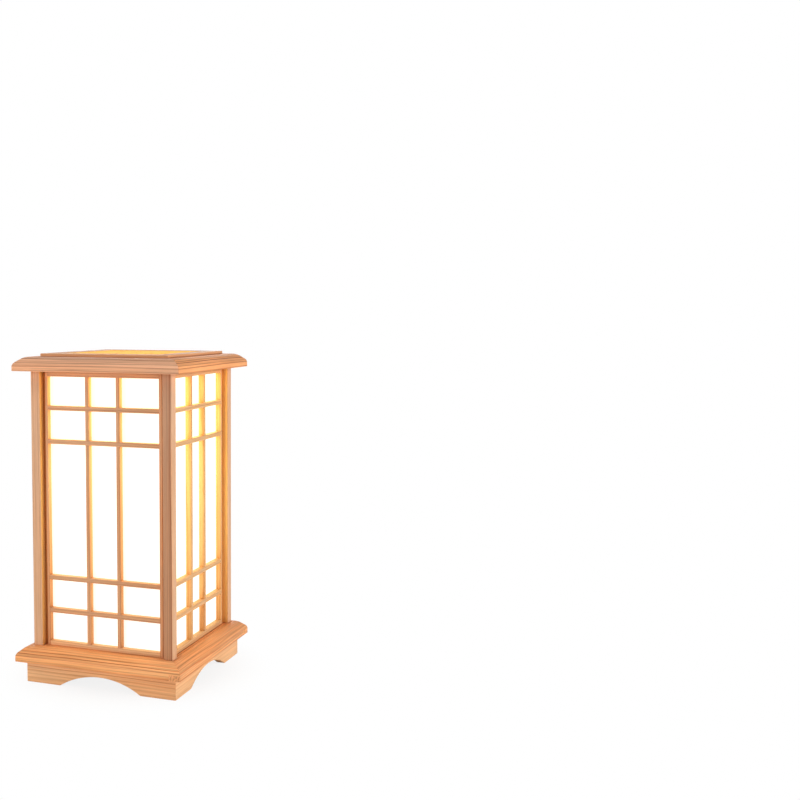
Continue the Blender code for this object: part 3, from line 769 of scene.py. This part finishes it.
def worn_metal(name, colour, dull, cells):
    """Plain plated metal with fine scuffs."""
    material, tree, shader = new_material(name)
    drawn = (cells, cells, cells * SCUFF_DRAWN)
    scuff = noise(tree, object_place(tree), drawn, detail=4.0, roughness=0.65)
    tree.links.new(blend(tree, ramp_between(tree, scuff, *SCUFF_RANGE), colour, dull), shader["Base Color"])
    tree.links.new(ramp_between(tree, scuff, *SCUFF_GLOSS), shader["Roughness"])
    shader["Metallic"].default_value = 1.0
    emboss(tree, scuff, FINE_RELIEF, shader)
    return material


def moulded(name, colour, pale, rough):
    """Moulded plastic or glazed clay, with a faint skin and dust in the hollows of its noise."""
    material, tree, shader = new_material(name)
    place = object_place(tree)
    skin = noise(tree, place, SKIN_CELLS)
    dust = noise(tree, place, DUST_CELLS, detail=4.0, roughness=0.6)
    tree.links.new(blend(tree, ramp_between(tree, dust, *DUST_RANGE), colour, pale), shader["Base Color"])
    tree.links.new(ramp_between(tree, dust, *DUST_GLOSS, rough, rough + DUST_DULL), shader["Roughness"])
    emboss(tree, skin, FINE_RELIEF, shader)
    return material


def lit_bulb(middle):
    """Frosted glass, brightest where the light comes from inside it."""
    material, tree, shader = new_material("frosted_glass")
    place = object_place(tree)
    height = put(tree, "SeparateXYZ", {0: place}).outputs[2]
    away = calc(tree, "ABSOLUTE", calc(tree, "SUBTRACT", height, middle))
    glow = blend(tree, ramp_between(tree, away, *BULB_FADE), BULB_HEART, BULB_EDGE)
    frost = noise(tree, place, FROST_CELLS, detail=3.0)
    tree.links.new(glow, shader["Emission Color"])
    shader["Emission Strength"].default_value = BULB_LIGHT
    tree.links.new(blend(tree, frost, linear(250, 246, 236), linear(238, 232, 218)), shader["Base Color"])
    tree.links.new(ramp_between(tree, frost, *FROST_GLOSS), shader["Roughness"])
    emboss(tree, frost, FINE_RELIEF, shader)
    return material


pine_figure()
post_pine = pine(
    "post pine", early=linear(230, 182, 144), late=linear(204, 147, 108), ring=0.0027, contrast=0.80,
    heart=POST_HEART, tint=POST_PAINTED_GLOW,
)
cap_pine = pine(
    "cap pine", early=linear(246, 188, 150), late=linear(124, 58, 34), ring=0.0042, contrast=0.95,
    onset=0.60, streak=0.16, gloss=0.04,
)
warm_cap_pine = pine(
    "warm cap pine", early=linear(248, 175, 121), late=linear(122, 46, 20), ring=0.0042, contrast=1.0,
    onset=0.58, streak=0.16, gloss=0.04,
)
lid_pine = pine(
    "lid pine", early=linear(232, 176, 132), late=linear(176, 110, 70), ring=0.0040, contrast=0.80,
    gloss=0.04,
)
base_pine = pine(
    "pine_base", early=linear(248, 180, 122), late=linear(176, 80, 30), ring=0.0035, contrast=0.80,
    onset=0.46, streak=0.22, gloss=0.15,
)
calm_base_pine = pine(
    "calm base pine", early=linear(239, 171, 118), late=linear(200, 116, 68), ring=0.0030, contrast=0.80,
    onset=0.50, streak=0.20, gloss=0.15,
)
skirt_pine = pine(
    "skirt pine", early=linear(248, 194, 142), late=linear(206, 138, 86), ring=0.0050, contrast=0.80,
    streak=0.10,
)
calm_skirt_pine = pine(
    "calm skirt pine", early=linear(250, 198, 146), late=linear(234, 172, 120), ring=0.0050, contrast=0.70,
)
bar_pine = pine(
    "pine_bar", early=linear(225, 168, 124), late=linear(190, 122, 82), ring=0.0032, contrast=0.75,
)
# painted light: a lighter copy of bar pine for the right and left panels, as if lit more, with a painted
# golden glow as its groove tint
painted_lit_bar_pine = pine(
    "painted lit bar pine", early=linear(230, 182, 130), late=linear(200, 142, 92), ring=0.0032, contrast=0.75,
    tint=SIDE_GROOVE_PAINTED_GLOW,
)
rail_pine = pine(
    "pale rail pine", early=linear(246, 196, 146), late=linear(205, 143, 96), ring=0.0032, contrast=0.75,
)
plywood = pine(
    "plywood", early=linear(214, 176, 130), late=linear(176, 128, 84), ring=0.0090, contrast=0.70,
    vector=BOARD_PLACE,
)
sheet_low, sheet_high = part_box("front_diffuser")
paper = diffuser_sheet(sheet_low.z, sheet_high.z, -(sheet_low.y + sheet_high.y) / 2)
flecked = flecked_sheet()
zinc = worn_metal("steel", colour=linear(178, 178, 180), dull=linear(132, 130, 126), cells=900.0)
brass = worn_metal("brass", colour=linear(206, 168, 92), dull=linear(150, 114, 60), cells=700.0)
black = moulded("black_plastic", colour=linear(30, 30, 32), pale=linear(62, 60, 58), rough=0.36)
ceramic = moulded("white_ceramic", colour=linear(238, 235, 226), pale=linear(222, 216, 202), rough=0.18)


# Wooden pieces, modelled for the front and copied round

def skirt_boards():
    """Boards with an arch sawn between their feet, their rings lying level."""
    low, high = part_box("skirt_front")
    outer = -low.y
    board = block((-outer, low.y, low.z), (outer, high.y, high.z))
    half_gap = outer - FOOT_LENGTH
    radius = (half_gap ** 2 + ARCH_RISE ** 2) / (2.0 * ARCH_RISE)
    arch = fresh(
        bpy.ops.mesh.primitive_cylinder_add,
        vertices=ARCH_POINTS, radius=radius, depth=ARCH_CUT * (high.y - low.y),
        location=(0.0, (low.y + high.y) / 2, ARCH_RISE - radius), rotation=(QUARTER, 0.0, 0.0),
    )
    carve(board, settle(arch))
    mitre(board)
    ease(board, BOARD_EASE)
    grain(board, 0, SKIRT_PITH)
    all_round(board, "skirt_{}", skirt_pine, slot="pine_base", other=calm_skirt_pine)


def bevelled_length(node, fascia):
    """A length of moulding: plain fascia below, bevel with rounded arrises above, mitred ends."""
    low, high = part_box(node)
    outer = -low.y
    spring = low.z + fascia
    top = spring + BEVEL_RUN
    length = block((-outer, low.y, low.z), (outer, high.y, top))
    pick(length, "EDGE", lambda at: at.y < low.y + WELD and at.z > top - WELD)
    bpy.ops.mesh.bevel(offset=BEVEL_RUN, segments=1, affect="EDGES")
    leave()
    pick(length, "VERT", lambda at: at.z > spring + WELD)
    squash = (high.z - spring) / BEVEL_RUN
    bpy.ops.transform.resize(value=(1.0, 1.0, squash), center_override=(0.0, 0.0, spring))
    leave()
    slope = math.atan(squash)
    brow = low.y + BEVEL_RUN
    arrises = ((brow, high.z, HIGH_ARRIS, slope), (low.y, spring, LOW_ARRIS, QUARTER - slope))
    for depth, height, radius, turn in arrises:
        pick(length, "EDGE", lambda at: abs(at.x) + abs(at.y - depth) + abs(at.z - height) < NEAR)
        bpy.ops.mesh.bevel(offset=radius * math.tan(turn / 2), segments=ARRIS_STEPS, affect="EDGES")
        leave()
    mitre(length)
    ease(length, MOULDING_EASE)
    return length


def cap_mouldings():
    """The cap, with its rings square to the bevel so that it is lined."""
    length = bevelled_length("cap_moulding_front", CAP_FASCIA)
    grain(length, 0, CAP_PITH, CAP_BOW)
    all_round(length, "cap_moulding_{}", cap_pine, slot="pine", other=warm_cap_pine)


def base_mouldings():
    """The base, where the end of each length runs through to the fascia of the next."""
    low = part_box("base_moulding_front")[0]
    outer = -low.y
    length = bevelled_length("base_moulding_front", BASE_FASCIA)
    carve(length, block(
        (outer - END_LAP - JOINT, -outer - OVERCUT, low.z - OVERCUT),
        (outer + OVERCUT, END_LAP + JOINT - outer, low.z + END_RISE + JOINT),
    ))
    end = block((-outer, -outer, low.z), (END_LAP - outer, END_LAP - outer, low.z + END_RISE))
    slice_off(end, (-JOINT / 2, 0.0, 0.0), (1.0, -1.0, 0.0))
    ease(end, END_EASE)
    length = join([grain(part, 0, BASE_PITH, BASE_BOW) for part in (length, end)])
    all_round(length, "base_moulding_{}", base_pine, slot="pine_base", other=calm_base_pine)


def posts(deck, ceiling):
    """Square posts with rounded arrises, from base to cap; painted light makes their sides towards the
    panels glow.
    """
    low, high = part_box("post_front_left")
    post = block((low.x, low.y, deck), (high.x, high.y, ceiling))
    ease(post, POST_EASE, POST_EASE_STEPS)
    for turn, corner in enumerate(CORNERS):
        copy = turned_copy(post, turn)
        grain(copy, 2, POST_PITH[corner])
        near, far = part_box("post_" + corner)
        wide = min(abs(near.x), abs(far.x))
        deep = min(abs(near.y), abs(far.y))
        # painted light: the sides that face the panels take the golden glow
        mark_painted_light_and_shade(copy, lambda at: abs(abs(at.x) - wide) < WELD or abs(abs(at.y) - deep) < WELD)
        set_down(copy, "post_" + corner, post_pine, "lantern", "pine")
    bpy.data.objects.remove(post)


def stiles(deck, ceiling):
    """Stiles with a tongue at the post, set back behind a shadow line."""
    for side, name in ((-1.0, "left"), (1.0, "right")):
        low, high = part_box("front_stile_" + name)
        inner, tip = (high.x, low.x) if side < 0 else (low.x, high.x)
        outer = inner + side * STILE_FACE
        stile = block((min(inner, outer), low.y, deck), (max(inner, outer), high.y, ceiling))
        back = low.y + SHADOW_DEPTH
        pick(stile, "FACE", lambda at: True)
        for depth in (back, back + TONGUE):
            bpy.ops.mesh.select_all(action="SELECT")
            bpy.ops.mesh.bisect(plane_co=(0.0, depth, 0.0), plane_no=(0.0, 1.0, 0.0), threshold=WELD)
        leave()
        pick(stile, "FACE", lambda at: abs(at.x - outer) < WELD and back < at.y < back + TONGUE)
        bpy.ops.mesh.extrude_region_move(TRANSFORM_OT_translate={"value": (tip - outer, 0.0, 0.0)})
        leave()
        ease(stile, BAR_EASE)
        grain(stile, 2, (STILE_PITH[0] * side, STILE_PITH[1]))
        # painted shade in the groove behind the stile's face; on the right and left, painted golden light
        # there instead
        mark_painted_light_and_shade(stile, lambda at: side * (at.x - outer) > -WELD and at.y > low.y + SHADOW_DEPTH / 2)
        all_round(stile, "{}_stile_" + name, bar_pine, slot="pine_bar", other=painted_lit_bar_pine)


def rails(deck, ceiling):
    """Top and bottom rails between the stiles."""
    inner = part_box("front_stile_right")[0].x - JOINT
    for number, (name, finish) in enumerate((("top_rail", bar_pine), ("bottom_rail", rail_pine))):
        low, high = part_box("front_" + name)
        rail = block((-inner, low.y, max(low.z, deck)), (inner, high.y, min(high.z, ceiling)))
        ease(rail, BAR_EASE)
        grain(rail, 0, (RAIL_PITH[0], RAIL_PITH[1] + RAIL_STEP * number))
        all_round(rail, "{}_" + name, finish, slot="pine_bar", other=painted_lit_bar_pine)


def lattices():
    """Upright and level kumiko bars, half-lapped where they cross."""
    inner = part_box("front_stile_right")[0].x - JOINT
    face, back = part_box("front_top_rail")[0].y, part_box("front_top_rail")[1].y
    middle = (face + back) / 2
    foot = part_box("front_bottom_rail")[1].z
    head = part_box("front_top_rail")[0].z
    centres = [side * (MIDDLE_COLUMN + UPRIGHT_FACE) / 2 for side in (-1.0, 1.0)]
    levels = []
    for row in range(SMALL_ROWS):
        inset = (row + 1) * ROW_HEIGHT + (row + 0.5) * LEVEL_FACE
        levels += [foot + inset, head - inset]
    wide = UPRIGHT_FACE / 2
    tall = LEVEL_FACE / 2
    bars = []
    for number, centre in enumerate(centres):
        bar = block((centre - wide, face, foot + JOINT), (centre + wide, back, head - JOINT))
        ease(bar, BAR_EASE)
        for level in levels:
            carve(bar, block(
                (centre - UPRIGHT_FACE, face - OVERCUT, level - tall - JOINT),
                (centre + UPRIGHT_FACE, middle + JOINT, level + tall + JOINT),
            ))
        bars.append(grain(bar, 2, (UPRIGHT_PITH[0] + UPRIGHT_STEP * number, UPRIGHT_PITH[1])))
    for number, level in enumerate(levels):
        bar = block((-inner, face, level - tall), (inner, back, level + tall))
        ease(bar, BAR_EASE)
        for centre in centres:
            carve(bar, block(
                (centre - wide - JOINT, middle - JOINT, level - LEVEL_FACE),
                (centre + wide + JOINT, back + OVERCUT, level + LEVEL_FACE),
            ))
        bars.append(grain(bar, 0, (LEVEL_PITH[0], LEVEL_PITH[1] + LEVEL_STEP * number)))
    lattice = join(bars)
    bpy.ops.object.shade_smooth_by_angle(angle=SHARP)
    all_round(lattice, "{}_lattice", bar_pine, slot="pine_bar", other=painted_lit_bar_pine)


def lid_strips():
    """Strips mitred into the lid's frame: stepped below for the cap, rebated above for the panel."""
    low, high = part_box("lid_strip_front")
    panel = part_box("lid_panel")[0]
    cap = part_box("cap_moulding_front")[1]
    outer = -low.y
    reach = outer + OVERCUT
    strip = block((-outer, low.y, low.z), (outer, high.y, high.z))
    carve(strip, block(
        (-reach, low.y - OVERCUT, low.z - OVERCUT),
        (reach, cap.y + LID_PLAY, low.z + LID_DROP),
    ))
    carve(strip, block(
        (-reach, panel.y - CLEAR, panel.z - CLEAR),
        (reach, high.y + OVERCUT, high.z + OVERCUT),
    ))
    mitre(strip)
    ease(strip, MOULDING_EASE)
    grain(strip, 0, LID_PITH)
    all_round(strip, "lid_strip_{}", lid_pine, "lid", slot="pine")


# Fittings, turned about the lamp's axis

def bulb():
    """Frosted globe that runs down into its neck, and the screw cap under it."""
    low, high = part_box("bulb_glass")
    radius = high.x
    centre = high.z - radius
    reach, drop = math.sin(BULB_SHOULDER), math.cos(BULB_SHOULDER)
    walls = []
    for wall in (BULB_WALL, 0.0):
        globe = radius - wall
        arc = [BULB_SHOULDER * step / GLOBE_STEPS for step in range(GLOBE_STEPS + 1)]
        points = [(globe * math.sin(angle), centre + globe * math.cos(angle)) for angle in arc]
        start = Vector((globe * reach, centre + globe * drop))
        stop = Vector((BULB_NECK - wall, low.z))
        lead = Vector((drop, -reach)) * (start - stop).length * NECK_LEAD
        foot = Vector((0.0, (start - stop).length * NECK_FOOT))
        for step in range(1, NECK_STEPS + 1):
            share = step / NECK_STEPS
            rest = 1.0 - share
            point = rest ** 3 * start + 3 * rest ** 2 * share * (start + lead)
            point += 3 * rest * share ** 2 * (stop + foot) + share ** 3 * stop
            points.append((point.x, point.y))
        walls.append(points)
    set_down(spun(walls[0] + walls[1][::-1]), "bulb_glass", glass, "bulb")
    low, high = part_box("bulb_screw_cap")
    sleeve = thread(CAP_CREST, CAP_ROOT, CAP_PITCH, low.z + SLEEVE_LOW, high.z - SLEEVE_HIGH)
    rim = spun([(radius, high.z - drop) for radius, drop in CAP_RIM])
    nose = spun([(radius, low.z + rise) for radius, rise in CAP_NOSE])
    set_down(join([sleeve, rim, nose]), "bulb_screw_cap", brass, "bulb")


def holder():
    """Lampholder: cap below, ribbed shell, insulating insert and sprung contact."""
    low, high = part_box("holder_cap")
    wide = high.x
    bore = wide - HOLDER_WALL
    knee = low.z + HOLDER_SLOPE
    inside = low.z + HOLDER_WALL
    cap = spun([
        (NUT_BORE, low.z), (HOLDER_NECK, low.z), (wide, knee), (wide, high.z), (bore, high.z),
        (bore, knee), (HOLDER_NECK, inside), (NUT_BORE, inside), (NUT_BORE, low.z),
    ])
    set_down(ease(cap, HOLDER_EASE), "holder_cap", black)
    low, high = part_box("holder_shell")
    wide = high.x
    outline = [(SHELL_BORE, low.z), (wide, low.z)]
    for rib in range(RIB_COUNT):
        foot = low.z + RIB_START + rib * RIB_PITCH
        outline += [(wide - depth, foot + rise) for depth, rise in RIB_GROOVE]
    ledge = high.z - (wide - SHELL_BORE)
    outline += [(wide, high.z), (SHELL_LIP, high.z), (SHELL_LIP, ledge)]
    outline += [(SHELL_BORE, ledge), (SHELL_BORE, low.z)]
    set_down(ease(spun(outline), HOLDER_EASE / 2), "holder_shell", black)
    low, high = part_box("holder_insert")
    cup = spun([
        (0.0, low.z), (high.x, low.z), (high.x, high.z), (INSERT_BORE, high.z),
        (INSERT_BORE, low.z + INSERT_FLOOR), (0.0, low.z + INSERT_FLOOR),
    ])
    set_down(ease(cup, HOLDER_EASE), "holder_insert", ceramic)
    low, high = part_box("holder_contact")
    waist = (low.z + high.z) / 2
    leaf = spun([(0.0, low.z), (high.x, low.z), (high.x, waist), (CONTACT_CROWN, high.z), (0.0, high.z)])
    set_down(ease(leaf, HOLDER_EASE / 4), "holder_contact", brass)


def entry():
    """Threaded nipple through the board, its six-sided nut, and the bush in its mouth."""
    low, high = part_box("cord_nipple")
    nipple = thread(high.x, high.x - NIPPLE_THREAD, NIPPLE_PITCH, low.z, high.z)
    drill(nipple, NIPPLE_BORE, low.z, high.z)
    set_down(nipple, "cord_nipple", zinc)
    low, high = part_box("nipple_nut")
    corner = max(high.x, high.y)
    nut = settle(fresh(
        bpy.ops.mesh.primitive_cylinder_add,
        vertices=NUT_SIDES, radius=corner, depth=high.z - low.z, location=(0.0, 0.0, (low.z + high.z) / 2),
        rotation=(0.0, 0.0, 0.0 if high.y > high.x else QUARTER),
    ))
    flat = corner * NUT_FLAT
    carve(nut, spun([
        (0.0, low.z), (flat, low.z), (corner, low.z + NUT_CHAMFER),
        (corner, high.z - NUT_CHAMFER), (flat, high.z), (0.0, high.z),
    ]), "INTERSECT")
    drill(nut, NUT_BORE, low.z, high.z)
    set_down(nut, "nipple_nut", zinc)
    low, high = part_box("cord_bush")
    flange = low.z + BUSH_FLANGE
    bush = spun([
        (BUSH_BORE, low.z), (high.x, low.z), (high.x, flange), (BUSH_SLEEVE, flange),
        (BUSH_SLEEVE, high.z), (BUSH_BORE, high.z), (BUSH_BORE, low.z),
    ])
    set_down(ease(bush, HOLDER_EASE / 2), "cord_bush", black)


def board_screws():
    """Countersunk screws with a crossed slot, driven up through the board."""
    low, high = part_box("board_screw_front")
    head = (high.x - low.x) / 2
    screw = spun([
        (0.0, low.z), (head, low.z), (head, low.z + SCREW_RIM), (SCREW_SHANK, low.z + SCREW_HEAD),
        (SCREW_SHANK, high.z - SCREW_POINT), (0.0, high.z),
    ])
    long, narrow = head * SLOT_REACH, SCREW_SLOT / 2
    for wide, deep in ((long, narrow), (narrow, long)):
        carve(screw, block((-wide, -deep, low.z - OVERCUT), (wide, deep, low.z + SLOT_DEPTH)))
    clean(screw)
    screw.location.y = (low.y + high.y) / 2
    settle(screw)
    for turn, side in enumerate(SIDES):
        set_down(turned_copy(screw, turn), "board_screw_" + side, zinc)
    bpy.data.objects.remove(screw)


glass = lit_bulb((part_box("bulb_glass")[0].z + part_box("bulb_glass")[1].z) / 2)
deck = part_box("base_moulding_front")[1].z + JOINT
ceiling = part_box("cap_moulding_front")[0].z - JOINT
skirt_boards()
base_mouldings()
posts(deck, ceiling)
stiles(deck, ceiling)
rails(deck, ceiling)
lattices()
cap_mouldings()
lid_strips()
bulb()
holder()
entry()
board_screws()
for item in placed:
    dress(*item)


# Nodes whose shape stays as it is get their finish
kept = {"lid_panel": flecked, "bottom_board": plywood}
kept.update({side + "_diffuser": paper for side in SIDES})
for name, material in kept.items():
    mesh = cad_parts[name].data
    mesh.materials.clear()
    mesh.materials.append(material)


# Floor, light and camera

def floor():
    """A pale floor that fades into the white ground."""
    plane = fresh(bpy.ops.mesh.primitive_plane_add, size=FLOOR_WIDTH, location=(0.0, 0.0, -FLOOR_DROP))
    plane.name = "floor"
    settle(plane)
    material = bpy.data.materials.new("floor")
    material.use_nodes = True
    tree = material.node_tree
    shader = tree.nodes["Principled BSDF"]
    shader.inputs["Base Color"].default_value = FLOOR_COLOUR
    shader.inputs["Roughness"].default_value = 0.9
    shader.inputs["Specular IOR Level"].default_value = 0.1
    reach = length_of(tree, object_place(tree))
    seen = put(tree, "LightPath").outputs["Is Camera Ray"]
    white = put(tree, "Emission", {"Color": WHITE, "Strength": 1.0})
    fade = calc(tree, "MULTIPLY", ramp_between(tree, reach, *FLOOR_FADE), seen)
    mix = put(tree, "MixShader", {0: fade, 1: shader.outputs[0], 2: white.outputs[0]})
    tree.links.new(mix.outputs[0], tree.nodes["Material Output"].inputs["Surface"])
    plane.data.materials.append(material)


def sky():
    """White to the camera, and an even fill for the rest."""
    world = bpy.data.worlds.new("studio")
    bpy.context.scene.world = world
    world.use_nodes = True
    tree = world.node_tree
    path = put(tree, "LightPath").outputs
    seen = calc(tree, "MAXIMUM", path["Is Camera Ray"], path["Is Transmission Ray"])
    ground = tree.nodes["Background"]
    ground.inputs["Color"].default_value = WHITE
    tree.links.new(ramp_between(tree, seen, 0.0, 1.0, SKY_FILL, 1.0), ground.inputs["Strength"])


def softbox(name, place, target, size, power):
    """An area lamp aimed at a point."""
    lamp = bpy.data.lights.new(name, "AREA")
    lamp.shape = "DISK"
    lamp.size = size
    lamp.energy = power
    lamp.color = LAMP_TINT
    stand = bpy.data.objects.new(name, lamp)
    stand.location = place
    stand.rotation_euler = (Vector(target) - Vector(place)).to_track_quat("-Z", "Y").to_euler()
    bpy.context.scene.collection.objects.link(stand)


def camera():
    """The camera at the photograph's viewpoint."""
    lens = bpy.data.cameras.new("camera")
    lens.sensor_width = SENSOR_WIDTH
    lens.lens = FOCAL_PIXELS * SENSOR_WIDTH / FRAME_PIXELS
    lens.shift_x = (FRAME_PIXELS / 2 - LENS_COLUMN) / FRAME_PIXELS
    stand = bpy.data.objects.new("camera", lens)
    across, back = VIEW_DISTANCE * math.sin(VIEW_SIDE), VIEW_DISTANCE * math.cos(VIEW_SIDE)
    stand.location = (across, -back, VIEW_HEIGHT)
    stand.rotation_euler = (QUARTER + VIEW_PITCH, 0.0, VIEW_SIDE + VIEW_TURN)
    bpy.context.scene.collection.objects.link(stand)
    bpy.context.scene.camera = stand


floor()
sky()
for name, setting in LAMPS.items():
    softbox(name, *setting)
camera()
bpy.context.scene.view_settings.view_transform = "Standard"
